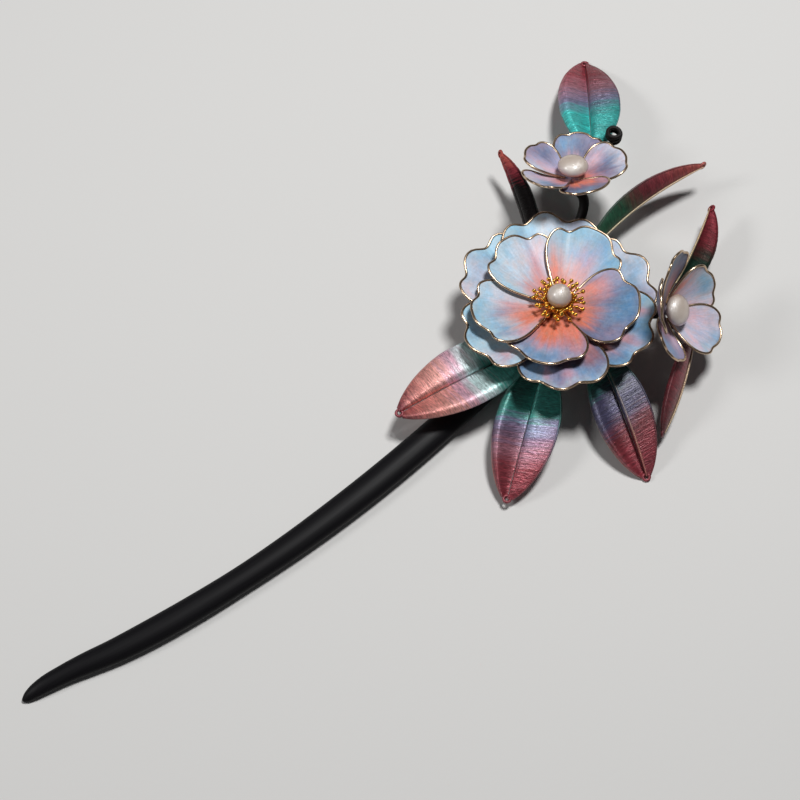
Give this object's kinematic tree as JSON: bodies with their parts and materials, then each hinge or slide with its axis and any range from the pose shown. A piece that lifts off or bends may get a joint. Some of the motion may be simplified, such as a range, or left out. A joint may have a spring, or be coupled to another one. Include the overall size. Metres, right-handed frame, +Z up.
{
  "type": "kanzashi hair stick",
  "caption": "Slim bowed hair stick with a willow-leaf point, its head wired with lobed film flowers, pearls and padded silk leaves, lying on a surface.",
  "frame": {"origin": "on the surface it lies on, under the middle of the whole", "axes": "+X along the stick from its point to the flowers, +Y to the left, +Z up from the surface"},
  "size_m": [0.2278, 0.1066, 0.034],
  "materials": {
    "black_wood": "satin black lacquer",
    "wound_thread": "close-wound dark brown thread",
    "blue_film": "pearly tinted film in a gold wire rim",
    "lilac_film": "pearly tinted film in a gold wire rim",
    "gold": "polished",
    "pearl": "pearl",
    "leaf_silk": "silk thread wound across padding"
  },
  "bodies": {
    "root": {"stick": "black_wood", "binding": "wound_thread", "main_stem": "wound_thread", "top_stem": "wound_thread", "side_stem": "wound_thread", "outer_petal_1": "blue_film", "outer_petal_2": "blue_film", "outer_petal_3": "blue_film", "outer_petal_4": "blue_film", "outer_petal_5": "blue_film", "outer_petal_6": "blue_film", "inner_petal_1": "lilac_film", "inner_petal_2": "lilac_film", "inner_petal_3": "lilac_film", "inner_petal_4": "lilac_film", "inner_petal_5": "lilac_film", "stamens": "gold", "main_pearl": "pearl", "top_petal_1": "lilac_film", "top_petal_2": "lilac_film", "top_petal_3": "lilac_film", "top_petal_4": "lilac_film", "top_petal_5": "lilac_film", "top_pearl": "pearl", "side_petal_1": "lilac_film", "side_petal_2": "lilac_film", "side_petal_3": "lilac_film", "side_petal_4": "lilac_film", "side_petal_5": "lilac_film", "side_pearl": "pearl", "leaf_1": "leaf_silk", "leaf_2": "leaf_silk", "leaf_3": "leaf_silk", "leaf_4": "leaf_silk", "leaf_5": "leaf_silk", "leaf_6": "leaf_silk", "leaf_7": "leaf_silk", "leaf_8": "leaf_silk", "coil": "wound_thread"}
  },
  "joints": []
}
